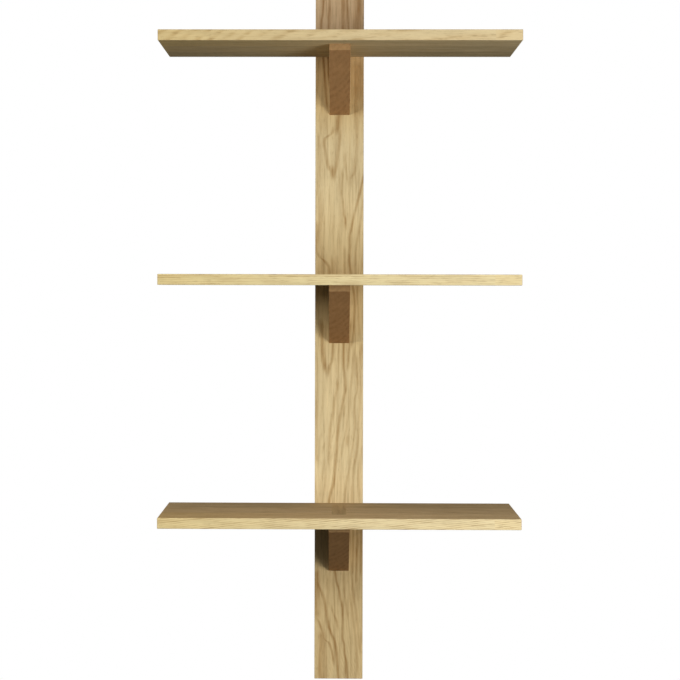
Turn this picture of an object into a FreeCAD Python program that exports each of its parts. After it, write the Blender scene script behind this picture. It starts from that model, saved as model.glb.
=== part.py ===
import FreeCAD
import Part
import Sketcher
import os

# Wall shelf in oak. A tall upright hangs flat on the wall and carries three shelves on its front face.
# Each shelf butts against the upright on two dowels and sits on a wedge-shaped bracket, whose long tongue
# comes up through the shelf and ends flush with its top. Screws from behind draw the brackets to the
# upright, and two keyhole plates let into its back hang the whole on a pair of wall screws.
#
# Frame: the origin is the centre of the upright's back face, on the wall. +Z is up, +Y goes into the wall.

# Driving sizes, in millimetres
SIZES = {
    # upright; the margins run from its ends to the upper faces of the top and bottom shelves
    "upright_length": 1200,
    "upright_width": 85,
    "upright_thickness": 18,
    "head_margin": 85,
    "foot_margin": 311,
    # shelves
    "shelf_span": 600,
    "shelf_depth": 200,
    "shelf_thickness": 18,
    # radius of the eased edges of all oak pieces
    "arris": 1,
    # brackets; the nose is the blunt front end, set back from the shelf's front edge
    "bracket_thickness": 36,
    "bracket_height": 102,
    "nose_height": 10.5,
    "nose_setback": 40,
    # tongue of a bracket; it starts clear of the upright and stops short of the nose
    "tongue_width": 24,
    "tongue_start": 30,
    "tongue_shoulder": 8,
    "tongue_corner": 6,
    "tongue_clearance": 0.1,
    # fluted dowels; the sink is the length inside the upright
    "dowel_diameter": 8,
    "dowel_length": 35,
    "dowel_sink": 10,
    "dowel_spacing": 54,
    "dowel_chamfer": 1,
    "dowel_clearance": 0.05,
    "dowel_end_room": 0.5,
    "flute_radius": 0.5,
    # countersunk screws of the brackets
    "bracket_screw_length": 60,
    "bracket_screw_diameter": 5,
    "bracket_screw_head": 9.6,
    "bracket_screw_rim": 0.5,
    "bracket_screw_tip": 7,
    # place of those screws: drop of the upper one under the shelf, wood left under the lower one's tip
    "bracket_screw_drop": 22,
    "bracket_screw_cover": 14,
    # countersunk screws of the keyhole plates
    "hanger_screw_length": 14,
    "hanger_screw_diameter": 3.5,
    "hanger_screw_head": 7,
    "hanger_screw_rim": 0.3,
    "hanger_screw_tip": 4,
    # all screws: depth of the head under the surface, play in a loose hole, fit of a thread in its hole
    "screw_sink": 0.2,
    "screw_play": 0.25,
    "screw_fit": 0.03,
    "screw_end_room": 1,
    # keyhole plates, measured from the plate's middle; the inset runs from the upright's ends
    "plate_length": 60,
    "plate_width": 20,
    "plate_thickness": 2.5,
    "plate_clearance": 0.15,
    "plate_inset": 45,
    "plate_screw_spacing": 44,
    "keyhole_entry_diameter": 10,
    "keyhole_entry_drop": 6,
    "keyhole_slot_width": 5,
    "keyhole_seat_rise": 8,
    # room in the upright behind a plate for the head of the wall screw
    "head_pocket_width": 13,
    "head_pocket_depth": 8,
}
LEVELS = ("top", "middle", "bottom")
SIDES = {"left": -1, "right": 1}
HANGERS = {"upper": 1, "lower": -1}
PLATE_SCREWS = {"above": 1, "below": -1}
FLUTES = 12
COUNTERSINK_DEGREES = 90
FULL_TURN_DEGREES = 360

document = FreeCAD.newDocument("WallShelf")
sheet = document.addObject("Spreadsheet::Sheet", "Sizes")
for row, (alias, number) in enumerate(SIZES.items(), start=1):
    sheet.set(f"A{row}", alias.replace("_", " "))
    sheet.set(f"B{row}", str(number))
    sheet.setAlias(f"B{row}", alias)
document.recompute()

# Sizes and places that follow from the driving ones, as formulas of the sheet
SHELF_PITCH = f"((Sizes.upright_length - Sizes.head_margin - Sizes.foot_margin) / {len(LEVELS) - 1})"
BRACKET_REACH = "(Sizes.shelf_depth - Sizes.nose_setback)"
SCREW_BITE = "(Sizes.bracket_screw_length + Sizes.screw_sink - Sizes.upright_thickness)"
SLOPE = f"((Sizes.bracket_height - Sizes.nose_height) / {BRACKET_REACH})"
SCREW_DROPS = {
    "upper": "Sizes.bracket_screw_drop",
    "lower": f"(Sizes.bracket_height - {SCREW_BITE} * {SLOPE} - Sizes.bracket_screw_cover)",
}
PLATE_HEIGHT = "(Sizes.upright_length / 2 - Sizes.plate_inset)"


def underside(level):
    """Height of the underside of a shelf."""
    highest = "Sizes.upright_length / 2 - Sizes.head_margin - Sizes.shelf_thickness"
    return f"({highest} - {LEVELS.index(level)} * {SHELF_PITCH})"


def value(formula):
    """The number that a formula of the sheet gives."""
    return float(sheet.evalExpression(formula))


# Sketches

def sketch_on(body, role, name, lift="0"):
    """A sketch on one of the body's own origin planes, lifted along the plane's normal."""
    sketch = body.newObject("Sketcher::SketchObject", name)
    plane = next(feature for feature in body.Origin.OriginFeatures if feature.Role == role)
    sketch.AttachmentSupport = [(plane, "")]
    sketch.MapMode = "FlatFace"
    sketch.setExpression("AttachmentOffset.Base.z", lift)
    return sketch


def dimension(sketch, kind, where, formula):
    """A dimension of the sketch that is bound to a formula of the sheet."""
    index = sketch.addConstraint(Sketcher.Constraint(kind, *where, value(formula)))
    sketch.setExpression(f"Constraints[{index}]", formula)


def hold(sketch, item, point, across, up):
    """Holds a point of an item at a place measured from the sketch's origin."""
    dimension(sketch, "DistanceX", (-1, 1, item, point), across)
    dimension(sketch, "DistanceY", (-1, 1, item, point), up)


def draw_polygon(sketch, corners):
    """A closed outline of straight lines through corners given as pairs of formulas."""
    points = [FreeCAD.Vector(value(across), value(up), 0) for across, up in corners]
    count = len(points)
    lines = [
        sketch.addGeometry(Part.LineSegment(points[i], points[(i + 1) % count]), False) for i in range(count)
    ]
    for i, (across, up) in enumerate(corners):
        sketch.addConstraint(Sketcher.Constraint("Coincident", lines[i - 1], 2, lines[i], 1))
        hold(sketch, lines[i], 1, across, up)


def draw_circle(sketch, across, up, radius):
    """A circle, for a hole, a peg or a flute."""
    centre = FreeCAD.Vector(value(across), value(up), 0)
    circle = sketch.addGeometry(Part.Circle(centre, FreeCAD.Vector(0, 0, 1), value(radius)), False)
    hold(sketch, circle, 3, across, up)
    dimension(sketch, "Radius", (circle,), radius)


def draw_belt(sketch, centres, radius):
    """A belt round equal circles, anticlockwise: a slot round two, a rounded rectangle round four."""
    points = [FreeCAD.Vector(value(across), value(up), 0) for across, up in centres]
    count = len(points)
    size = value(radius)
    along = [(points[(i + 1) % count] - points[i]).normalize() for i in range(count)]
    outward = [direction.cross(FreeCAD.Vector(0, 0, 1)) for direction in along]
    lines = []
    arcs = []
    for i in range(count):
        start = points[i] + outward[i] * size
        end = points[(i + 1) % count] + outward[i] * size
        lines.append(sketch.addGeometry(Part.LineSegment(start, end), False))
        crown = points[i] + (along[i - 1] - along[i]).normalize() * size
        bend = Part.Arc(points[i] + outward[i - 1] * size, crown, start)
        arcs.append(sketch.addGeometry(bend, False))
    for i, (across, up) in enumerate(centres):
        sketch.addConstraint(Sketcher.Constraint("Tangent", lines[i - 1], 2, arcs[i], 1))
        sketch.addConstraint(Sketcher.Constraint("Tangent", arcs[i], 2, lines[i], 1))
        hold(sketch, arcs[i], 3, across, up)
        dimension(sketch, "Radius", (arcs[i],), radius)


# Features

def pad(body, sketch, length, name, symmetric=False):
    """A pad along the sketch's normal, or half to each side of it."""
    feature = body.newObject("PartDesign::Pad", name)
    feature.Profile = sketch
    feature.SideType = "Symmetric" if symmetric else "One side"
    feature.setExpression("Length", length)
    document.recompute()
    return feature


def check_cut(body, before, name):
    """Stops the build if a cut has missed the solid."""
    if not body.Shape.Volume < before:
        raise RuntimeError(f"{name} of {body.Label} removes nothing")


def pocket(body, sketch, depth, name, along_normal=True):
    """A pocket of a given depth, or right through the piece where the depth is None."""
    before = body.Shape.Volume
    feature = body.newObject("PartDesign::Pocket", name)
    feature.Profile = sketch
    feature.Reversed = along_normal
    if depth is None:
        feature.Type = "ThroughAll"
    else:
        feature.setExpression("Length", depth)
    document.recompute()
    check_cut(body, before, name)
    return feature


def screw_holes(body, places, kind, diameter, depth, name):
    """Holes from the body's back plane, countersunk for a kind of screw; through holes have no depth."""
    sketch = sketch_on(body, "XZ_Plane", f"{name}_places")
    for across, up in places:
        draw_circle(sketch, across, up, f"({diameter}) / 2")
    document.recompute()
    before = body.Shape.Volume
    hole = body.newObject("PartDesign::Hole", name)
    hole.Profile = sketch
    document.recompute()
    hole.Reversed = True
    hole.setExpression("Diameter", diameter)
    hole.DrillPoint = "Flat"
    hole.HoleCutType = "Countersink"
    hole.HoleCutCountersinkAngle = COUNTERSINK_DEGREES
    mouth = f"Sizes.{kind}_head + 2 * (Sizes.{kind}_rim + Sizes.screw_sink + Sizes.screw_fit)"
    hole.setExpression("HoleCutDiameter", mouth)
    if depth is None:
        hole.DepthType = "ThroughAll"
    else:
        hole.DepthType = "Dimension"
        hole.setExpression("Depth", depth)
    document.recompute()
    check_cut(body, before, name)


def ease_all_edges(body, board):
    """Rounds every edge of a plain board, as sanding does."""
    fillet = body.newObject("PartDesign::Fillet", "eased_edges")
    fillet.Base = (board, [])
    fillet.UseAllEdges = True
    fillet.setExpression("Radius", "Sizes.arris")
    document.recompute()


def new_body(label, x="0", y="0", z="0"):
    """An empty sub-part at its place in the shelf's frame."""
    body = document.addObject("PartDesign::Body", label)
    body.Label = label
    body.setExpression("Placement.Base.x", x)
    body.setExpression("Placement.Base.y", y)
    body.setExpression("Placement.Base.z", z)
    return body


# Upright

def plate_belt(sketch, middle, clearance="0"):
    """The round-ended outline of a keyhole plate."""
    reach = "(Sizes.plate_length - Sizes.plate_width) / 2"
    centres = [("0", f"{middle} + {reach}"), ("0", f"{middle} - {reach}")]
    draw_belt(sketch, centres, f"Sizes.plate_width / 2 + {clearance}")


def keyhole_belt(sketch, middle, width):
    """A slot from the keyhole's round entry up to its seat."""
    centres = [("0", f"{middle} + Sizes.keyhole_seat_rise"), ("0", f"{middle} - Sizes.keyhole_entry_drop")]
    draw_belt(sketch, centres, f"{width} / 2")


def plate_screw_places(middle):
    """The two screw places of a keyhole plate."""
    return [("0", f"{middle} + {end} * Sizes.plate_screw_spacing / 2") for end in PLATE_SCREWS.values()]


def make_upright():
    """The long board on the wall, with every hole and recess that the other pieces need."""
    body = new_body("upright")
    face = sketch_on(body, "XZ_Plane", "face")
    half_width = "Sizes.upright_width / 2"
    half_length = "Sizes.upright_length / 2"
    draw_polygon(face, [
        (f"-{half_width}", f"-{half_length}"),
        (half_width, f"-{half_length}"),
        (half_width, half_length),
        (f"-{half_width}", half_length),
    ])
    ease_all_edges(body, pad(body, face, "Sizes.upright_thickness", "board"))

    middles = [f"{end} * {PLATE_HEIGHT}" for end in HANGERS.values()]
    recesses = sketch_on(body, "XZ_Plane", "plate_outlines")
    head_pockets = sketch_on(body, "XZ_Plane", "head_pocket_outlines")
    for middle in middles:
        plate_belt(recesses, middle, "Sizes.plate_clearance")
        keyhole_belt(head_pockets, middle, "Sizes.head_pocket_width")
    pocket(body, recesses, "Sizes.plate_thickness", "plate_recesses")
    pocket(body, head_pockets, "Sizes.plate_thickness + Sizes.head_pocket_depth", "head_pockets")

    plate_places = [place for middle in middles for place in plate_screw_places(middle)]
    thread = "Sizes.hanger_screw_diameter + 2 * Sizes.screw_fit"
    sunk_length = "Sizes.hanger_screw_length + Sizes.screw_sink + Sizes.screw_end_room"
    screw_holes(body, plate_places, "hanger_screw", thread, sunk_length, "plate_screw_holes")

    bracket_places = [
        ("0", f"{underside(level)} - {drop}") for level in LEVELS for drop in SCREW_DROPS.values()
    ]
    loose = "Sizes.bracket_screw_diameter + 2 * Sizes.screw_play"
    screw_holes(body, bracket_places, "bracket_screw", loose, None, "bracket_screw_holes")

    front = sketch_on(body, "XZ_Plane", "dowel_places", lift="Sizes.upright_thickness")
    dowel_hole = "Sizes.dowel_diameter / 2 + Sizes.dowel_clearance"
    for level in LEVELS:
        height = f"{underside(level)} + Sizes.shelf_thickness / 2"
        for side in SIDES.values():
            draw_circle(front, f"{side} * Sizes.dowel_spacing / 2", height, dowel_hole)
    pocket(body, front, "Sizes.dowel_sink + Sizes.dowel_end_room", "dowel_holes", along_normal=False)
    return body


# Shelves and brackets share their origin: the upright's front face, under the middle of the shelf

def tongue_belt(sketch, clearance="0"):
    """The round-cornered outline of a bracket's tongue, or of the mortise that takes it."""
    side = "(Sizes.tongue_width / 2 - Sizes.tongue_corner)"
    back = "-(Sizes.tongue_start + Sizes.tongue_corner)"
    front = f"-({BRACKET_REACH} - Sizes.tongue_shoulder - Sizes.tongue_corner)"
    centres = [(f"-{side}", front), (side, front), (side, back), (f"-{side}", back)]
    draw_belt(sketch, centres, f"Sizes.tongue_corner + {clearance}")


def make_shelf(level):
    """A plain board with a through mortise for the tongue and two dowel holes in its back edge."""
    body = new_body(f"shelf_{level}", y="-Sizes.upright_thickness", z=underside(level))
    outline = sketch_on(body, "XY_Plane", "outline")
    half_span = "Sizes.shelf_span / 2"
    draw_polygon(outline, [
        (f"-{half_span}", "-Sizes.shelf_depth"),
        (half_span, "-Sizes.shelf_depth"),
        (half_span, "0"),
        (f"-{half_span}", "0"),
    ])
    ease_all_edges(body, pad(body, outline, "Sizes.shelf_thickness", "board"))

    mortise = sketch_on(body, "XY_Plane", "mortise_outline")
    tongue_belt(mortise, "Sizes.tongue_clearance")
    pocket(body, mortise, None, "mortise")

    back_edge = sketch_on(body, "XZ_Plane", "dowel_places")
    for side in SIDES.values():
        draw_circle(back_edge, f"{side} * Sizes.dowel_spacing / 2", "Sizes.shelf_thickness / 2",
                    "Sizes.dowel_diameter / 2 + Sizes.dowel_clearance")
    pocket(body, back_edge, "Sizes.dowel_length - Sizes.dowel_sink + Sizes.dowel_end_room", "dowel_holes")
    return body


def make_bracket(level):
    """A wedge under the shelf, with the tongue on top and two screw holes in its back end."""
    body = new_body(f"bracket_{level}", y="-Sizes.upright_thickness", z=underside(level))
    profile = sketch_on(body, "YZ_Plane", "profile")
    draw_polygon(profile, [
        ("0", "0"),
        (f"-{BRACKET_REACH}", "0"),
        (f"-{BRACKET_REACH}", "-Sizes.nose_height"),
        ("0", "-Sizes.bracket_height"),
    ])
    wedge = pad(body, profile, "Sizes.bracket_thickness", "wedge", symmetric=True)

    # the edges that show are eased; those against the shelf and the upright stay sharp
    touching = value("Sizes.arris") / 2
    shown = [
        f"Edge{index}" for index, edge in enumerate(wedge.Shape.Edges, start=1)
        if edge.CenterOfMass.y < -touching and edge.CenterOfMass.z < -touching
    ]
    fillet = body.newObject("PartDesign::Fillet", "eased_edges")
    fillet.Base = (wedge, shown)
    fillet.setExpression("Radius", "Sizes.arris")
    document.recompute()

    tongue = sketch_on(body, "XY_Plane", "tongue_outline")
    tongue_belt(tongue)
    pad(body, tongue, "Sizes.shelf_thickness", "tongue")

    back_end = sketch_on(body, "XZ_Plane", "screw_places")
    for drop in SCREW_DROPS.values():
        draw_circle(back_end, "0", f"-{drop}", "Sizes.bracket_screw_diameter / 2 + Sizes.screw_fit")
    pocket(body, back_end, f"{SCREW_BITE} + Sizes.screw_end_room", "screw_holes")
    return body


# Dowels

def make_dowel(level, side):
    """A fluted peg, half in the upright and half in the shelf's back edge."""
    body = new_body(
        f"dowel_{level}_{side}",
        x=f"{SIDES[side]} * Sizes.dowel_spacing / 2",
        y="Sizes.dowel_sink - Sizes.upright_thickness",
        z=f"{underside(level)} + Sizes.shelf_thickness / 2",
    )
    section = sketch_on(body, "XZ_Plane", "section")
    draw_circle(section, "0", "0", "Sizes.dowel_diameter / 2")
    peg = pad(body, section, "Sizes.dowel_length", "peg")

    rims = [
        f"Edge{index}" for index, edge in enumerate(peg.Shape.Edges, start=1) if edge.isClosed()
    ]
    chamfer = body.newObject("PartDesign::Chamfer", "lead_in")
    chamfer.Base = (peg, rims)
    chamfer.setExpression("Size", "Sizes.dowel_chamfer")
    document.recompute()

    groove = sketch_on(body, "XZ_Plane", "flute_section")
    draw_circle(groove, "0", "Sizes.dowel_diameter / 2", "Sizes.flute_radius")
    flute = pocket(body, groove, None, "flute")
    pattern = body.newObject("PartDesign::PolarPattern", "flutes")
    pattern.Originals = [flute]
    pattern.Axis = (groove, ["N_Axis"])
    pattern.Angle = FULL_TURN_DEGREES
    pattern.Occurrences = FLUTES
    body.Tip = pattern
    document.recompute()
    return body


# Screws

def make_screw(label, kind, height):
    """A countersunk wood screw that enters from the wall side, its head just under the surface."""
    body = new_body(label, y="-Sizes.screw_sink", z=height)
    profile = sketch_on(body, "XY_Plane", "half_profile")
    head = f"Sizes.{kind}_head / 2"
    shank = f"Sizes.{kind}_diameter / 2"
    draw_polygon(profile, [
        ("0", "0"),
        ("0", f"-Sizes.{kind}_length"),
        (shank, f"-(Sizes.{kind}_length - Sizes.{kind}_tip)"),
        (shank, f"-(Sizes.{kind}_rim + {head} - {shank})"),
        (head, f"-Sizes.{kind}_rim"),
        (head, "0"),
    ])
    turned = body.newObject("PartDesign::Revolution", "turned")
    turned.Profile = profile
    turned.ReferenceAxis = (profile, ["V_Axis"])
    turned.Angle = FULL_TURN_DEGREES
    document.recompute()
    return body


# Keyhole plates

def make_hanger_plate(hanger):
    """A round-ended steel plate with a keyhole and two countersunk screw holes."""
    body = new_body(f"hanger_plate_{hanger}", z=f"{HANGERS[hanger]} * {PLATE_HEIGHT}")
    outline = sketch_on(body, "XZ_Plane", "outline")
    plate_belt(outline, "0")
    pad(body, outline, "Sizes.plate_thickness", "plate")

    entry = sketch_on(body, "XZ_Plane", "entry_outline")
    draw_circle(entry, "0", "-Sizes.keyhole_entry_drop", "Sizes.keyhole_entry_diameter / 2")
    pocket(body, entry, None, "keyhole_entry")
    slot = sketch_on(body, "XZ_Plane", "slot_outline")
    keyhole_belt(slot, "0", "Sizes.keyhole_slot_width")
    pocket(body, slot, None, "keyhole_slot")

    loose = "Sizes.hanger_screw_diameter + 2 * Sizes.screw_play"
    screw_holes(body, plate_screw_places("0"), "hanger_screw", loose, None, "screw_holes")
    return body


# The whole shelf

pieces = [make_upright()]
for level in LEVELS:
    pieces.append(make_shelf(level))
    pieces.append(make_bracket(level))
    for side in SIDES:
        pieces.append(make_dowel(level, side))
    for end, drop in SCREW_DROPS.items():
        height = f"{underside(level)} - {drop}"
        pieces.append(make_screw(f"bracket_screw_{level}_{end}", "bracket_screw", height))
for hanger, direction in HANGERS.items():
    pieces.append(make_hanger_plate(hanger))
    for end, offset in PLATE_SCREWS.items():
        height = f"{direction} * {PLATE_HEIGHT} + {offset} * Sizes.plate_screw_spacing / 2"
        pieces.append(make_screw(f"hanger_screw_{hanger}_{end}", "hanger_screw", height))
document.recompute()

# Every object has to be sound before a file is written
for item in document.Objects:
    if "Invalid" in item.State or "Error" in item.State:
        raise RuntimeError(f"{item.Label} failed: {item.State}")
for piece in pieces:
    if piece.Shape.isNull() or not piece.Shape.isValid() or len(piece.Shape.Solids) != 1:
        raise RuntimeError(f"{piece.Label} is not one sound solid")

os.makedirs("parts", exist_ok=True)
for piece in pieces:
    piece.Shape.exportStep(f"parts/{piece.Label}.step")
    box = piece.Shape.BoundBox
    print(f"{piece.Label}: {box.XLength:.1f} x {box.YLength:.1f} x {box.ZLength:.1f} mm")
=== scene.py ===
import math
import bmesh
import bpy
from mathutils import Matrix, Vector


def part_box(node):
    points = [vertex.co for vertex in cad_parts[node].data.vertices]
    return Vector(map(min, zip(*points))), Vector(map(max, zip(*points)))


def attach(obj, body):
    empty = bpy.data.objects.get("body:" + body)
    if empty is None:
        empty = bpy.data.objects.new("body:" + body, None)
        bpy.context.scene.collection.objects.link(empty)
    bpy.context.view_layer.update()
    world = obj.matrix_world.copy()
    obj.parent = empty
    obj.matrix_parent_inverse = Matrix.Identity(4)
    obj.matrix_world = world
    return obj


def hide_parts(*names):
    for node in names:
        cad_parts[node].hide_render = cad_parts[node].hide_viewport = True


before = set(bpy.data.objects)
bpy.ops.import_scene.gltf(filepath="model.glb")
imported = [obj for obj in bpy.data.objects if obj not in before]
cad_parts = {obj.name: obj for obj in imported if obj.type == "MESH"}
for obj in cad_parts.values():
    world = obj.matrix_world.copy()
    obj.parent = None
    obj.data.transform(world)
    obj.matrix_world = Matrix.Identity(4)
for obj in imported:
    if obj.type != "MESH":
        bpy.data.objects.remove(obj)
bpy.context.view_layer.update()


# Upright. One flat-sawn oak board, planed, sanded and oiled, that hangs flat on the wall.
# The saw met the yearly rings at a low angle, so its face shows a closed loop near the top, long arches that
# point down, and stripes that crowd towards the right-hand edge.

def linear(code):
    """A colour written as sRGB hex, as the linear RGBA that a shader takes."""
    parts = [int(code[i:i + 2], 16) / 255 for i in (1, 3, 5)]
    return [p / 12.92 if p <= 0.04045 else ((p + 0.055) / 1.055) ** 2.4 for p in parts] + [1]


def put(tree, kind, inputs, out=0, **settings):
    """Adds a node with its settings. Each input takes a value or a link. Returns one of its outputs."""
    node = tree.nodes.new("ShaderNode" + kind)
    for setting, value in settings.items():
        setattr(node, setting, value)
    for socket, source in inputs.items():
        if isinstance(source, bpy.types.NodeSocket):
            tree.links.new(source, node.inputs[socket])
        else:
            node.inputs[socket].default_value = source
    return node.outputs[out]


def dress(node_name, material):
    """Gives a solid of the frame its finish."""
    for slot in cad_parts[node_name].material_slots:
        slot.material = material


def oiled_oak(name, centre, turn, half_mm, ring_mm, rings, shades, face, early, tints, stripes=(), stave_mm=0,
              waver=1):
    """Solid oak, sanded and oiled: pale tan wood with browner stripes of open pores where a year's growth begins,
    darker end grain that drank the oil, and no gloss. The pattern's X runs across the board, Y into it and Z
    along the grain. At some places along the grain, rings says which yearly ring lies at the middle and how the
    rings lean and bow over half the width, and shades says how the wood is toned, with painted light and shade in it.
    tints are (direction, strength by how far a surface faces it, colour), the first for end grain, and a later one
    may paint shade on the surfaces that face its way. stripes are bolder rings, and a broad one may be painted shade,
    each (strength, width, places across at places along the grain). A board that is glued up has staves of stave_mm.
    waver is the share of their usual swing that the rings have."""
    material = bpy.data.materials.new(name)
    material.use_nodes = True
    tree = material.node_tree
    shader = tree.nodes["Principled BSDF"]

    # millimetres from the board's middle; glued staves each come from another part of the log
    place = put(tree, "TexCoord", {}, out="Object")
    mm = (0.001, 0.001, 0.001)
    board = put(tree, "Mapping", {"Vector": place, "Location": centre, "Rotation": turn, "Scale": mm},
                vector_type="TEXTURE")
    stave = None
    if stave_mm:
        across = put(tree, "SeparateXYZ", {0: board}, out="X")
        count = put(tree, "Math", {0: across, 1: 1 / stave_mm, 2: 1.5}, operation="MULTIPLY_ADD")
        stave = put(tree, "Math", {0: count}, operation="FLOOR")
        deeper_mm, further_mm = 13, 233
        moved = put(tree, "VectorMath", {0: stave, 1: (-stave_mm, deeper_mm, further_mm), 2: (stave_mm, 0, 0)},
                    operation="MULTIPLY_ADD")
        board = put(tree, "VectorMath", {0: board, 1: moved}, operation="ADD")

    # every trait that changes along the grain, or with the way a surface faces, follows a smooth curve
    along = put(tree, "SeparateXYZ", {0: board}, out="Z")
    normal = put(tree, "TexCoord", {}, out="Normal")
    curves = [(along, [(spot[0], spot[trait]) for spot in rings]) for trait in (1, 2, 3)]
    for direction, strengths, colour in tints:
        facing = put(tree, "VectorMath", {0: normal, 1: direction}, out="Value", operation="DOT_PRODUCT")
        curves.append((facing, strengths))
    curves += [(along, spots) for _, _, spots in stripes]
    traits = []
    for source, points in curves:
        first, last = points[0][0], points[-1][0]
        low = min(value for _, value in points)
        span = max(value for _, value in points) - low or 1
        share = put(tree, "MapRange", {"Value": source, "From Min": first, "From Max": last})
        curve = put(tree, "FloatCurve", {"Value": share})
        dots = curve.node.mapping.curves[0].points
        for spot, value in points[1:-1]:
            dots.new((spot - first) / (last - first), (value - low) / span)
        ordered = sorted(dots, key=lambda dot: dot.location[0])
        ordered[0].location = (0, (points[0][1] - low) / span)
        ordered[-1].location = (1, (points[-1][1] - low) / span)
        for dot in ordered:
            dot.handle_type = "AUTO_CLAMPED"
        curve.node.mapping.update()
        traits.append(put(tree, "Math", {0: curve, 1: span, 2: low}, operation="MULTIPLY_ADD"))
    year, lean, bow = traits[:3]
    facings, tracks = traits[3:3 + len(tints)], traits[3 + len(tints):]

    # which ring: slow waves of the trunk and small ripples bend the stripes
    bent = board
    for wave_mm, length_mm, swing in ((26, 110, (2.4 * waver, 0.5, 0)), (6, 34, (2.0 * waver, 0.4, 0))):
        size = (1 / wave_mm, 1 / wave_mm, 1 / length_mm)
        spread = put(tree, "VectorMath", {0: board, 1: size}, operation="MULTIPLY")
        noise = put(tree, "TexNoise", {"Vector": spread, "Scale": 1, "Detail": 2}, out=1)
        rest = (-swing[0] / 2, -swing[1] / 2, 0)
        bend = put(tree, "VectorMath", {0: noise, 1: swing, 2: rest}, operation="MULTIPLY_ADD")
        bent = put(tree, "VectorMath", {0: bent, 1: bend}, operation="ADD")
    sides = put(tree, "SeparateXYZ", {0: bent}).node.outputs
    half = put(tree, "Math", {0: sides["X"], 1: 1 / half_mm}, operation="MULTIPLY")
    age = put(tree, "Math", {0: bow, 1: half, 2: lean}, operation="MULTIPLY_ADD")
    age = put(tree, "Math", {0: age, 1: half, 2: year}, operation="MULTIPLY_ADD")
    age = put(tree, "Math", {0: sides["Y"], 1: 1 / ring_mm, 2: age}, operation="MULTIPLY_ADD")

    # early wood starts quickly and fades into late wood; no stripe is even
    season = put(tree, "Math", {0: age}, operation="FRACT")
    fade = put(tree, "MapRange", {"Value": season, "From Min": 0.0, "From Max": 0.5, "To Min": 1, "To Max": 0},
               interpolation_type="SMOOTHSTEP")
    onset = put(tree, "MapRange", {"Value": season, "From Min": 0.68, "From Max": 1},
                interpolation_type="SMOOTHSTEP")
    band = put(tree, "Math", {0: fade, 1: onset}, operation="MAXIMUM")
    ring = put(tree, "Math", {0: age, 1: 0.4}, operation="ADD")
    ring = put(tree, "Math", {0: ring}, operation="FLOOR")
    luck = put(tree, "TexWhiteNoise", {"W": ring}, noise_dimensions="1D")
    luck = put(tree, "MapRange", {"Value": luck, "To Min": 0.6, "To Max": 1.1})
    spread = put(tree, "VectorMath", {0: board, 1: (1 / 8, 1 / 8, 1 / 48)}, operation="MULTIPLY")
    patch = put(tree, "TexNoise", {"Vector": spread, "Scale": 1, "Detail": 2})
    patch = put(tree, "MapRange", {"Value": patch, "From Min": 0.34, "From Max": 0.66, "To Min": 0.1, "To Max": 1.3})
    luck = put(tree, "Math", {0: luck, 1: patch}, operation="MULTIPLY")
    band = put(tree, "Math", {0: band, 1: luck}, operation="MULTIPLY")

    # bolder rings lean through the board's thickness and taper off at their ends; the others fade beside them
    slant, taper_mm, faded = 1.2, 14, 0.25
    leaning = put(tree, "Math", {0: sides["Y"], 1: slant, 2: sides["X"]}, operation="MULTIPLY_ADD")
    bold = put(tree, "Math", {0: patch, 1: 0.35, 2: 0.55}, operation="MULTIPLY_ADD")
    if stripes:
        band = put(tree, "Math", {0: band, 1: faded}, operation="MULTIPLY")
    for (strength, width, spots), track in zip(stripes, tracks):
        gap = put(tree, "Math", {0: leaning, 1: track}, operation="SUBTRACT")
        gap = put(tree, "Math", {0: gap}, operation="ABSOLUTE")
        mark = put(tree, "MapRange", {"Value": gap, "From Max": width, "To Min": strength, "To Max": 0},
                   interpolation_type="SMOOTHSTEP")
        first, last = spots[0][0], spots[-1][0]
        away = put(tree, "Math", {0: along, 1: (first + last) / 2}, operation="SUBTRACT")
        away = put(tree, "Math", {0: away}, operation="ABSOLUTE")
        reach = (last - first) / 2
        taper = put(tree, "MapRange", {"Value": away, "From Min": reach, "From Max": reach - taper_mm})
        mark = put(tree, "Math", {0: mark, 1: taper}, operation="MULTIPLY")
        mark = put(tree, "Math", {0: mark, 1: bold}, operation="MULTIPLY")
        band = put(tree, "Math", {0: band, 1: mark}, operation="MAXIMUM")

    # streaks of fibres, fine fibres, and pores of 0.3 mm drawn twice as wide so that they still show
    spread = put(tree, "VectorMath", {0: board, 1: (1 / 5, 1 / 5, 1 / 80)}, operation="MULTIPLY")
    streak = put(tree, "TexNoise", {"Vector": spread, "Scale": 1, "Detail": 3, "Roughness": 0.6})
    spread = put(tree, "VectorMath", {0: board, 1: (1 / 1.5, 1 / 1.5, 1 / 60)}, operation="MULTIPLY")
    fibre = put(tree, "TexNoise", {"Vector": spread, "Scale": 1, "Detail": 3, "Roughness": 0.6})
    spread = put(tree, "VectorMath", {0: board, 1: (1 / 0.6, 1 / 0.6, 1 / 14)}, operation="MULTIPLY")
    pore = put(tree, "TexNoise", {"Vector": spread, "Scale": 1, "Detail": 1})
    dent = put(tree, "MapRange", {"Value": pore, "From Min": 0.6, "From Max": 0.7})
    pore = put(tree, "Math", {0: band, 1: 0.16, 2: pore}, operation="MULTIPLY_ADD")
    pore = put(tree, "MapRange", {"Value": pore, "From Min": 0.64, "From Max": 0.74})

    # oil fills end grain, so fibres and pores hardly show there
    plain = put(tree, "MapRange", {"Value": facings[0], "To Min": 1, "To Max": 0.25})
    pore = put(tree, "Math", {0: pore, 1: plain}, operation="MULTIPLY")
    fibre = put(tree, "Math", {0: fibre, 1: 0.5}, operation="SUBTRACT")
    fibre = put(tree, "Math", {0: fibre, 1: plain, 2: 0.5}, operation="MULTIPLY_ADD")
    feather = put(tree, "Math", {0: fibre, 1: 1.4, 2: 0.3}, operation="MULTIPLY_ADD")
    stain = put(tree, "MapRange", {"Value": streak, "From Min": 0.5, "From Max": 0.8, "To Max": 0.6})
    band = put(tree, "Math", {0: band, 1: feather, 2: stain}, operation="MULTIPLY_ADD", use_clamp=True)
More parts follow.
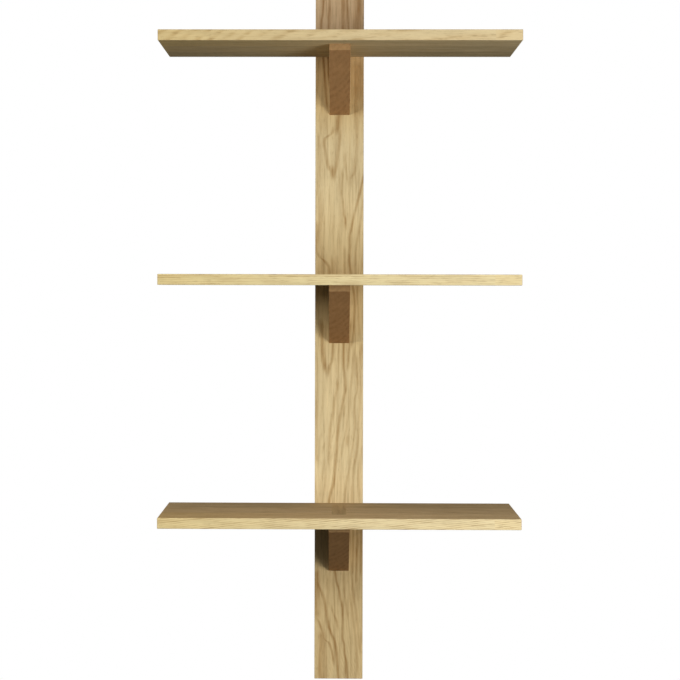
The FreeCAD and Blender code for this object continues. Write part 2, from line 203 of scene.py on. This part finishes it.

    # colour: stripes, shades along the board (with painted light and shade in them), slow drift of tone with fibres
    # in it, pores, then each side's tint: the end grain's own, or painted shade on a side
    colour = put(tree, "Mix", {0: band, 6: linear(face), 7: linear(early)}, out=2, data_type="RGBA")
    first, last = shades[0][0], shades[-1][0]
    share = put(tree, "MapRange", {"Value": along, "From Min": first, "From Max": last})
    ramp = put(tree, "ValToRGB", {0: share})
    stops = ramp.node.color_ramp.elements
    while len(stops) < len(shades):
        stops.new(0.5)
    for stop, (spot, shade) in zip(stops, shades):
        stop.position = (spot - first) / (last - first)
        stop.color = linear(shade)
    colour = put(tree, "Mix", {0: 1.0, 6: colour, 7: ramp}, out=2, data_type="RGBA", blend_type="MULTIPLY")
    spread = put(tree, "VectorMath", {0: board, 1: (1 / 22, 1 / 22, 1 / 170)}, operation="MULTIPLY")
    drift = put(tree, "TexNoise", {"Vector": spread, "Scale": 1, "Detail": 2})
    if stave is not None:
        lighter = put(tree, "Math", {0: stave, 1: -0.4, 2: 0.4}, operation="MULTIPLY_ADD")
        drift = put(tree, "Math", {0: drift, 1: lighter}, operation="ADD")
    drift = put(tree, "Math", {0: fibre, 1: 0.7, 2: drift}, operation="MULTIPLY_ADD")
    drift = put(tree, "Math", {0: streak, 1: -0.9, 2: drift}, operation="MULTIPLY_ADD")
    tone = put(tree, "MapRange", {"Value": drift, "From Min": -0.2, "From Max": 1.0, "To Min": 0.8, "To Max": 1.2})
    colour = put(tree, "VectorMath", {0: colour, "Scale": tone}, operation="SCALE")
    dark = put(tree, "Math", {0: pore, 1: 0.35}, operation="MULTIPLY")
    colour = put(tree, "Mix", {0: dark, 6: colour, 7: linear("#8A6A40")}, out=2, data_type="RGBA")
    for strength, (_, _, tint) in zip(facings, tints):
        colour = put(tree, "Mix", {0: strength, 6: colour, 7: linear(tint)}, out=2, data_type="RGBA",
                     blend_type="MULTIPLY")
    tree.links.new(colour, shader.inputs["Base Color"])

    # matt oil leaves no gloss, only the fibres' relief and the pores' dents
    relief = put(tree, "Math", {0: fibre, 1: dent}, operation="SUBTRACT")
    bump = put(tree, "Bump", {"Height": relief, "Strength": 0.35, "Distance": 0.0003})
    tree.links.new(bump, shader.inputs["Normal"])
    shader.inputs["Specular IOR Level"].default_value = 0
    return material


ALONG_Z = (0, 0, 0)
FRONT_FACE = (0, -0.018, 0)
END_GRAIN = [(-1, 1), (-0.7, 1), (-0.4, 0), (0.4, 0), (0.7, 1), (1, 1)]
OILED_ENDS = "#DCC4AC"
UPRIGHT_RINGS = [(-600, -2, 9, 1), (-430, 3.5, 8, 2), (-280, 3.5, 6, 2), (-85, 0, 6, 2), (150, 0, 5, 3),
                 (300, 0, 4, 2), (600, 0, 6, 1)]
UPRIGHT_STRIPES = [  # strength, half width in mm, and (height, place across) in mm from the board's middle
    # the head
    (1.0, 7, [(395, 1), (500, 5), (560, 6), (620, 5)]),
    (1.0, 4, [(400, -14), (410, -22), (490, -28), (550, -33), (575, -30), (620, -27)]),
    (0.9, 4, [(420, -14), (500, -20), (545, -20), (575, -19), (620, -17)]),
    (0.8, 4, [(520, 16), (550, 15), (600, 12), (620, 11)]),
    # a broad band at the head's right: partly the wood's tone, partly painted shade
    (1.0, 12, [(500, 30), (560, 31), (620, 33)]),
    # a broad band right of the top bracket, under the top shelf: painted shade, not a ring
    (0.7, 18, [(385, 32), (495, 32)]),
    (0.6, 4, [(500, 42), (620, 42)]),
    # a loop that hangs from a brown patch, closes in a blunt tip and has a fainter one at its right
    (0.8, 11, [(356, -6), (372, -3), (395, -1), (430, 1)]),
    (0.7, 6, [(280, -13), (292, -14), (300, -18), (312, -22), (330, -25), (345, -27), (352, -26), (358, -20),
              (364, -13), (380, -9)]),
    (0.75, 6, [(280, -11), (292, -9), (300, -7), (312, -5), (330, -3), (350, 0), (380, 1)]),
    (0.9, 7, [(275, -12), (312, -12)]),
    (0.5, 4, [(240, -41), (300, -36), (345, -36), (370, -39)]),
    (0.5, 6, [(270, 17), (284, 20), (292, 26), (305, 29), (390, 31), (500, 28)]),
    (0.5, 5, [(268, 17), (284, 14), (310, 10), (335, 9)]),
    (0.4, 9, [(262, 18), (298, 18)]),
    # between loop and middle shelf: lines that come in from the right-hand edge, and an arch at the left
    (0.85, 4, [(-20, 20), (10, 25), (60, 27), (110, 21), (150, 18), (175, 18), (195, 21), (215, 25), (235, 30),
              (255, 35), (275, 40), (300, 47)]),
    (0.5, 4, [(0, 36), (60, 33), (140, 28), (165, 30), (195, 35), (225, 39), (250, 43), (265, 46)]),
    (0.7, 4, [(190, 11), (205, 11), (220, 8), (240, 6), (260, 4), (290, 5), (305, 5)]),
    (0.6, 4, [(60, 12), (120, 10), (150, 9), (170, 8)]),
    (0.8, 6, [(100, -17), (125, -18), (133, -22), (139, -27), (146, -35), (160, -39), (195, -39), (215, -41)]),
    (0.8, 5, [(100, -10), (135, -12), (150, -13)]),
    (0.4, 12, [(90, -4), (120, -6), (150, -8)]),
    (0.35, 12, [(100, -32), (200, -33), (270, -36)]),
    # a fork under the middle shelf, then the long line down the middle and those beside it
    (0.9, 7, [(-66, -21), (-48, -25), (-30, -28), (-10, -29), (40, -33)]),
    (0.8, 5, [(-68, -19), (-50, -17), (-35, -12), (0, -10), (60, -9)]),
    (0.7, 5, [(-62, 13), (-40, 16), (-20, 17), (10, 19), (40, 22)]),
    (0.85, 5, [(-300, -18), (-275, -15), (-255, -10), (-220, -6), (-180, -3), (-150, 0), (-120, 5), (-100, 9),
              (-85, 11), (-65, 10), (-45, 8), (0, 8), (60, 12)]),
    (0.6, 4, [(-145, 8), (-105, 9)]),
    (0.5, 5, [(-215, -17), (-165, -16), (-130, -10), (-105, -7), (-85, -3), (-65, -2)]),
    (0.4, 7, [(-225, -17), (-160, -17)]),
    (0.4, 4, [(-300, -30), (-250, -24), (-215, -22)]),
    (0.4, 4, [(-215, 3), (-190, 6), (-165, 12), (-140, 15), (-120, 17), (-95, 19), (-75, 22), (-50, 24), (-20, 24)]),
    (0.5, 4, [(-300, 8), (-265, 12), (-245, 15), (-225, 19), (-205, 22), (-185, 25), (-165, 27), (-145, 28),
              (-125, 27), (-105, 28), (-85, 32), (-60, 32), (-20, 30)]),
    (0.55, 4, [(-300, 22), (-260, 24), (-230, 26), (-205, 30), (-185, 33), (-155, 34), (-130, 35), (-100, 37),
              (-60, 38), (0, 39)]),
    (0.4, 5, [(-300, 37), (-265, 36), (-235, 35), (-205, 39), (-180, 43)]),
    (0.5, 6, [(-195, 13), (-160, 16)]),
    (0.3, 4, [(-300, 1), (-255, 3), (-225, 1), (-200, 2)]),
    (0.5, 4, [(-225, -39), (-150, -39), (-95, -40)]),
    # the foot, where all lines run down to the right
    (0.9, 5, [(-620, 2), (-585, -1), (-565, -3), (-545, -5), (-532, -8), (-518, -14), (-500, -20), (-480, -22),
              (-462, -25), (-450, -29), (-435, -35), (-415, -40)]),
    (0.8, 5, [(-522, -16), (-484, -21)]),
    (0.8, 4, [(-580, -8), (-560, -10), (-548, -13), (-536, -18), (-530, -25), (-520, -28), (-505, -33), (-485, -40)]),
    (0.9, 4, [(-620, 17), (-590, 16), (-570, 14), (-555, 11), (-540, 10), (-525, 7), (-490, 7), (-470, 6), (-458, 3),
              (-445, 1), (-430, -3), (-415, -6), (-395, -9)]),
    (0.7, 5, [(-604, 15), (-556, 13)]),
    (0.5, 4, [(-500, 18), (-460, 12), (-440, 9), (-400, 8)]),
    (0.5, 4, [(-600, 34), (-530, 30), (-510, 28), (-480, 24), (-440, 19), (-400, 16)]),
    (0.5, 4, [(-560, 38), (-530, 36), (-500, 33), (-475, 30), (-460, 27), (-440, 25), (-400, 22)]),
    (0.5, 4, [(-470, 36), (-440, 32), (-410, 30)]),
    (0.6, 4, [(-520, -1), (-500, -3), (-485, -9), (-465, -14)]),
    (0.4, 4, [(-480, -18), (-410, -19)]),
    (0.7, 4, [(-425, 24), (-380, 25), (-300, 25)]),
    (0.8, 4, [(-440, 31), (-380, 32), (-300, 33)]),
    (0.8, 4, [(-420, 39), (-300, 40)]),
    (0.75, 13, [(-620, -28), (-510, -30)]),
    (0.7, 10, [(-500, -38), (-400, -38)]),
]
# tone along the upright, partly the wood's own and partly painted light and shade: lighter just above the bottom
# shelf, darker just under the top shelf
UPRIGHT_TONE_AND_PAINTED_LIGHT = [
    (-600, "#EEE7DC"), (-340, "#ECE4D8"), (-292, "#FFFFFF"), (-262, "#FEFDFC"), (-230, "#F8F8F8"), (-60, "#F8F6F3"),
    (0, "#F3EEE4"), (80, "#F1ECE2"), (115, "#EFE8DC"), (170, "#F4F1EA"), (230, "#F8F7F5"), (340, "#F8F8F8"),
    (400, "#F1EADE"), (450, "#EEE1D2"), (495, "#E9DACB"), (515, "#E8DBDD"), (600, "#EBDFE1")]
dress("upright", oiled_oak("oiled_oak_upright", FRONT_FACE, ALONG_Z, half_mm=42.5, ring_mm=1.8, rings=UPRIGHT_RINGS,
                           shades=UPRIGHT_TONE_AND_PAINTED_LIGHT, face="#E9D4A4", early="#B79563",
                           tints=[((0, 0, 1), END_GRAIN, OILED_ENDS)], stripes=UPRIGHT_STRIPES))


# Shelves. Three boards, each glued up from three oak staves, sanded and oiled like the upright.
# They butt against the upright's face, and a mortise in the middle takes the bracket's tongue.
# Each has its own run of rings along the front edge, and the tops are tinted darker, a painted shade.

ALONG_X = (math.pi / 2, 0, math.pi / 2)
# how far a surface must face up before the darker tint, a painted shade, lies on it
PAINTED_SHADE_ON_TOPS = [(-1, 0), (0.6, 0), (1, 1)]
SHELF_RINGS = {  # share of the rings' swing, their spacing through the board in mm, and their run along it
    "top": (1, 20, [(-300, 0, 12, 2), (0, -9, 13, 2), (300, -12, 12, 2)]),
    "middle": (0.3, 3.0, [(-300, 0, 12, 2), (0, 0.4, 12, 2), (300, 0, 12, 2)]),
    "bottom": (0.3, 3.4, [(-300, 10, 12, 2), (300, -10, 12, 2)]),
}
# the boards are toned darker towards their left ends: painted shade
SHELF_PAINTED_SHADE = [(-300, "#F4EFDD"), (0, "#FCFAF6"), (300, "#FFFFFF")]
SHELF_FACE = {"top": "#DBC79B", "middle": "#E4D5A6", "bottom": "#E6D5A8"}
for level, (waver, ring_mm, rings) in SHELF_RINGS.items():
    low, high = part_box("shelf_" + level)
    middle = tuple((low + high) / 2)
    # the second tint darkens the shelf tops: painted shade
    tints = [((1, 0, 0), END_GRAIN, OILED_ENDS), ((0, 0, 1), PAINTED_SHADE_ON_TOPS, "#E8DAD2")]
    dress("shelf_" + level, oiled_oak("oiled_oak_shelf_" + level, middle, ALONG_X, half_mm=33.3, ring_mm=ring_mm,
                                      rings=rings, shades=SHELF_PAINTED_SHADE, face=SHELF_FACE[level], early="#CCB486",
                                      tints=tints, stave_mm=200 / 3, waver=waver))


# Brackets. Each is sawn from a thick oak block with the grain running front to back, so the nose and the
# sloping face are end grain. The tongue on top goes up through the shelf and is sanded flush.

ALONG_Y = (-math.pi / 2, 0, 0)
SAWN_ACROSS = [(-1, 0.7), (-0.5, 1), (-0.25, 0), (0.25, 0), (0.5, 1), (1, 0.7)]
BRACKET_RINGS = [(-120, 0, 1.3, 0.5), (120, 1.2, 1.3, 0.5)]
BRACKET_SHADES = [(-120, "#FFFFFF"), (120, "#FFFFFF")]
for level in SHELF_RINGS:
    low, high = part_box("bracket_" + level)
    middle = tuple((low + high) / 2)
    dress("bracket_" + level, oiled_oak("oiled_oak_bracket_" + level, middle, ALONG_Y, half_mm=18, ring_mm=11,
                                        rings=BRACKET_RINGS, shades=BRACKET_SHADES, face="#C2A577", early="#B6996E",
                                        tints=[((0, 1, 0), SAWN_ACROSS, "#DFC9BA")]))


# Dowels. Six fluted pegs of raw beech, glued half into the upright and half into the shelves' back edges.
# Beech is pinkish and plain, with short dark flecks along the grain.

beech = bpy.data.materials.new("raw_beech")
beech.use_nodes = True
tree = beech.node_tree
shader = tree.nodes["Principled BSDF"]
place = put(tree, "TexCoord", {}, out="Object")
spread = put(tree, "VectorMath", {0: place, 1: (1 / 0.0005, 1 / 0.004, 1 / 0.0005)}, operation="MULTIPLY")
fleck = put(tree, "TexNoise", {"Vector": spread, "Scale": 1, "Detail": 2})
fleck = put(tree, "MapRange", {"Value": fleck, "From Min": 0.45, "From Max": 0.7})
colour = put(tree, "Mix", {0: fleck, 6: linear("#DDBC95"), 7: linear("#B98C62")}, out=2, data_type="RGBA")
tree.links.new(colour, shader.inputs["Base Color"])
bump = put(tree, "Bump", {"Height": fleck, "Strength": 0.3, "Distance": 0.0002})
tree.links.new(bump, shader.inputs["Normal"])
shader.inputs["Roughness"].default_value = 0.7
for level in SHELF_RINGS:
    for side in ("left", "right"):
        dress(f"dowel_{level}_{side}", beech)


# Keyhole plates. Two stamped plates of zinc-plated steel, let in flush in the upright's back.
# The plating is a bluish silver with faint clouds and a brushed grain along the plate.

zinc = bpy.data.materials.new("zinc_plated_steel")
zinc.use_nodes = True
tree = zinc.node_tree
shader = tree.nodes["Principled BSDF"]
place = put(tree, "TexCoord", {}, out="Object")
cloud = put(tree, "TexNoise", {"Vector": place, "Scale": 1 / 0.004, "Detail": 4})
spread = put(tree, "VectorMath", {0: place, 1: (1 / 0.0003, 1 / 0.0003, 1 / 0.02)}, operation="MULTIPLY")
brush = put(tree, "TexNoise", {"Vector": spread, "Scale": 1, "Detail": 2})
colour = put(tree, "Mix", {0: cloud, 6: linear("#9FA3A8"), 7: linear("#C2C4C4")}, out=2, data_type="RGBA")
tree.links.new(colour, shader.inputs["Base Color"])
rough = put(tree, "MapRange", {"Value": cloud, "To Min": 0.28, "To Max": 0.5})
tree.links.new(rough, shader.inputs["Roughness"])
bump = put(tree, "Bump", {"Height": brush, "Strength": 0.2, "Distance": 0.0001})
tree.links.new(bump, shader.inputs["Normal"])
shader.inputs["Metallic"].default_value = 1
for end in ("upper", "lower"):
    dress("hanger_plate_" + end, zinc)


# Screws. Countersunk wood screws of zinc-plated steel with a six-lobed recess: six long ones driven from the
# back into the brackets, and four short ones that hold the keyhole plates. Each is turned, then its thread is
# rolled on.

STEPS = 48


def wood_screw(node, outer, core, pitch, rim, tip, recess):
    """A screw whose head faces the wall, in place of a plain solid and no bigger. All sizes are in metres."""
    low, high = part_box(node)
    length = high.y - low.y
    head = (high.x - low.x) / 2
    neck = rim + head - core * 1.1
    thread_from = max(length * 0.35, neck + pitch)
    bm = bmesh.new()
    profile = [(0, length), (core * 0.35, length - tip * 0.3), (core, length - tip), (core, thread_from),
               (core * 1.1, thread_from - pitch * 0.4), (core * 1.1, neck), (head, rim), (head, rim * 0.25),
               (head - rim * 0.25, 0)]
    rail = [bm.verts.new((radius, -depth, 0)) for radius, depth in profile]
    edges = [bm.edges.new(pair) for pair in zip(rail, rail[1:])]
    bmesh.ops.spin(bm, geom=rail + edges, cent=(0, 0, 0), axis=(0, 1, 0), dvec=(0, 0, 0), angle=2 * math.pi,
                   steps=STEPS, use_merge=True, use_duplicate=False)
    bmesh.ops.remove_doubles(bm, verts=bm.verts, dist=1e-6)
    mouth = [edge for edge in bm.edges if edge.is_boundary]
    top = bmesh.ops.contextual_create(bm, geom=mouth)["faces"][0]
    bmesh.ops.inset_individual(bm, faces=[top], thickness=head - recess, depth=0)
    for vert in top.verts:
        lobe = 1 + 0.13 * math.cos(6 * math.atan2(vert.co.z, vert.co.x))
        spot = Vector((vert.co.x, 0, vert.co.z)).normalized() * recess * lobe
        vert.co.x, vert.co.z = spot.x, spot.z
    well = bmesh.ops.extrude_discrete_faces(bm, faces=[top])["faces"][0]
    bmesh.ops.translate(bm, verts=well.verts, vec=(0, -recess, 0))

    # the thread is a wedge wound down the core, thinning out over the point
    turns = (length - tip * 0.3 - thread_from) / pitch
    corners = ((core * 0.95, 0.3), (outer, 0), (core * 0.95, -0.3))
    wedge = [bm.verts.new((radius, pitch * rise - thread_from, 0)) for radius, rise in corners]
    start = bm.faces.new(wedge)
    winds = int(turns * STEPS / 2)
    older = set(bm.verts) - set(wedge)
    bmesh.ops.spin(bm, geom=[start] + list(start.edges) + wedge, cent=(0, 0, 0), axis=(0, 1, 0),
                   dvec=(0, -turns * pitch / winds, 0), angle=2 * math.pi * turns, steps=winds, use_merge=False,
                   use_duplicate=False)
    for vert in bm.verts:
        if vert not in older:
            left = min(1, max(0.2, (length + vert.co.y) / tip))
            vert.co.x *= left
            vert.co.z *= left
    bmesh.ops.recalc_face_normals(bm, faces=bm.faces)
    bmesh.ops.translate(bm, verts=bm.verts, vec=((low.x + high.x) / 2, high.y, (low.z + high.z) / 2))
    mesh = bpy.data.meshes.new(node + "_threaded")
    bm.to_mesh(mesh)
    bm.free()
    mesh.materials.append(zinc)
    mesh.shade_smooth()
    mesh.set_sharp_from_angle(angle=math.radians(30))
    screw = bpy.data.objects.new(node + "_threaded", mesh)
    bpy.context.scene.collection.objects.link(screw)
    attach(screw, "root")
    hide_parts(node)


for level in SHELF_RINGS:
    for end in ("upper", "lower"):
        wood_screw(f"bracket_screw_{level}_{end}", outer=0.0025, core=0.0016, pitch=0.0026, rim=0.0005, tip=0.007,
                   recess=0.0021)
for hanger in ("upper", "lower"):
    for end in ("above", "below"):
        wood_screw(f"hanger_screw_{hanger}_{end}", outer=0.00175, core=0.0011, pitch=0.0016, rim=0.0003, tip=0.004,
                   recess=0.0014)


# Stage. The shelf hangs a metre above a pale floor, between two soft boxes, with a bright patch of ceiling and a
# dim one of ground before it. Level light from behind and from the right shows the sides that these don't reach.

def soft_box(name, place, size, power):
    """A soft box that faces the shelf and that the camera doesn't see."""
    light = bpy.data.lights.new(name, "AREA")
    light.shape = "RECTANGLE"
    light.size, light.size_y = size
    light.energy = power
    lamp = bpy.data.objects.new(name, light)
    lamp.location = place
    lamp.rotation_mode = "QUATERNION"
    lamp.rotation_quaternion = (Vector((0, -0.1, 0)) - Vector(place)).to_track_quat("-Z", "Y")
    lamp.visible_camera = False
    bpy.context.scene.collection.objects.link(lamp)


soft_box("box_right", place=(1.4, -1.83, -0.14), size=(1.1, 1.1), power=31)
soft_box("box_left", place=(-1.95, -1.22, 0.445), size=(0.8, 0.52), power=25)

for name, heading, power in (("light_behind", (0, -1, 0), 2.2), ("light_right", (-1, 0, 0), 0.35)):
    light = bpy.data.lights.new(name, "SUN")
    light.energy = power
    light.angle = math.radians(2)
    lamp = bpy.data.objects.new(name, light)
    lamp.rotation_mode = "QUATERNION"
    lamp.rotation_quaternion = Vector(heading).to_track_quat("-Z", "Y")
    lamp.visible_glossy = False
    bpy.context.scene.collection.objects.link(lamp)

world = bpy.data.worlds.new("white_room")
bpy.context.scene.world = world
world.use_nodes = True
tree = world.node_tree
paths = put(tree, "LightPath", {}).node.outputs
seen = put(tree, "Math", {0: paths["Is Camera Ray"], 1: paths["Is Glossy Ray"]}, operation="MAXIMUM")
seen = put(tree, "Math", {0: seen, 1: paths["Is Transmission Ray"]}, operation="MAXIMUM")
outward = put(tree, "TexCoord", {}, out="Generated")
patches = []
for heading, dimmest, brightest in (((0, -0.6, 0.8), 0.015, 0.9), ((0, -0.6, -0.8), 0, 0.15)):
    near = put(tree, "VectorMath", {0: outward, 1: heading}, out="Value", operation="DOT_PRODUCT")
    patches.append(put(tree, "MapRange", {"Value": near, "From Min": 0.6, "From Max": 1, "To Min": dimmest,
                                          "To Max": brightest}))
glow = put(tree, "Math", {0: patches[0], 1: patches[1]}, operation="ADD")
glow = put(tree, "Math", {0: seen, 1: glow}, operation="MAXIMUM")
tree.links.new(glow, tree.nodes["Background"].inputs["Strength"])
tree.nodes["Background"].inputs["Color"].default_value = (1, 1, 1, 1)

# the floor fades out into the white, can be looked through from below and throws no light up
bm = bmesh.new()
bmesh.ops.create_circle(bm, cap_ends=True, segments=96, radius=2.4)
bmesh.ops.translate(bm, verts=bm.verts, vec=(0, 0, -1.6))
mesh = bpy.data.meshes.new("floor")
bm.to_mesh(mesh)
bm.free()
paint = bpy.data.materials.new("pale_floor_paint")
paint.use_nodes = True
tree = paint.node_tree
shader = tree.nodes["Principled BSDF"]
place = put(tree, "TexCoord", {}, out="Object")
flat = put(tree, "VectorMath", {0: place, 1: (1, 1, 0)}, operation="MULTIPLY")
reach = put(tree, "VectorMath", {0: flat}, out="Value", operation="LENGTH")
clear = put(tree, "MapRange", {"Value": reach, "From Min": 0.6, "From Max": 2.3}, interpolation_type="SMOOTHSTEP")
under = put(tree, "NewGeometry", {}, out="Backfacing")
clear = put(tree, "Math", {0: clear, 1: under}, operation="MAXIMUM")
glass = put(tree, "BsdfTransparent", {})
skin = put(tree, "MixShader", {0: clear, 1: shader.outputs[0], 2: glass})
tree.links.new(skin, tree.nodes["Material Output"].inputs["Surface"])
shader.inputs["Base Color"].default_value = linear("#F4F3F0")
shader.inputs["Emission Color"].default_value = (1, 1, 1, 1)
shader.inputs["Emission Strength"].default_value = 0.4
shader.inputs["Roughness"].default_value = 0.8
mesh.materials.append(paint)
floor = bpy.data.objects.new("floor", mesh)
floor.visible_diffuse = False
bpy.context.scene.collection.objects.link(floor)

# the camera stands 3 m in front, level with the middle shelf, its lens shifted as the picture is framed
PICTURE = 680
YAW, PITCH, ROLL = (math.radians(angle) for angle in (0.747, 0.458, 0.117))
ahead = Vector((-math.sin(YAW) * math.cos(PITCH), math.cos(YAW) * math.cos(PITCH), -math.sin(PITCH)))
right = Vector((math.cos(YAW), math.sin(YAW), 0))
up = right.cross(ahead)
tilted = Matrix((math.cos(ROLL) * right + math.sin(ROLL) * up, math.cos(ROLL) * up - math.sin(ROLL) * right, -ahead))
camera = bpy.data.objects.new("camera", bpy.data.cameras.new("camera"))
camera.matrix_world = Matrix.Translation((-0.00799, -2.95176, 0.09242)) @ tilted.transposed().to_4x4()
camera.data.sensor_width = 36
camera.data.lens = 88.077
camera.data.shift_x, camera.data.shift_y = 27 / PICTURE, -40 / PICTURE
bpy.context.scene.collection.objects.link(camera)
bpy.context.scene.camera = camera
bpy.context.scene.view_settings.view_transform = "Standard"
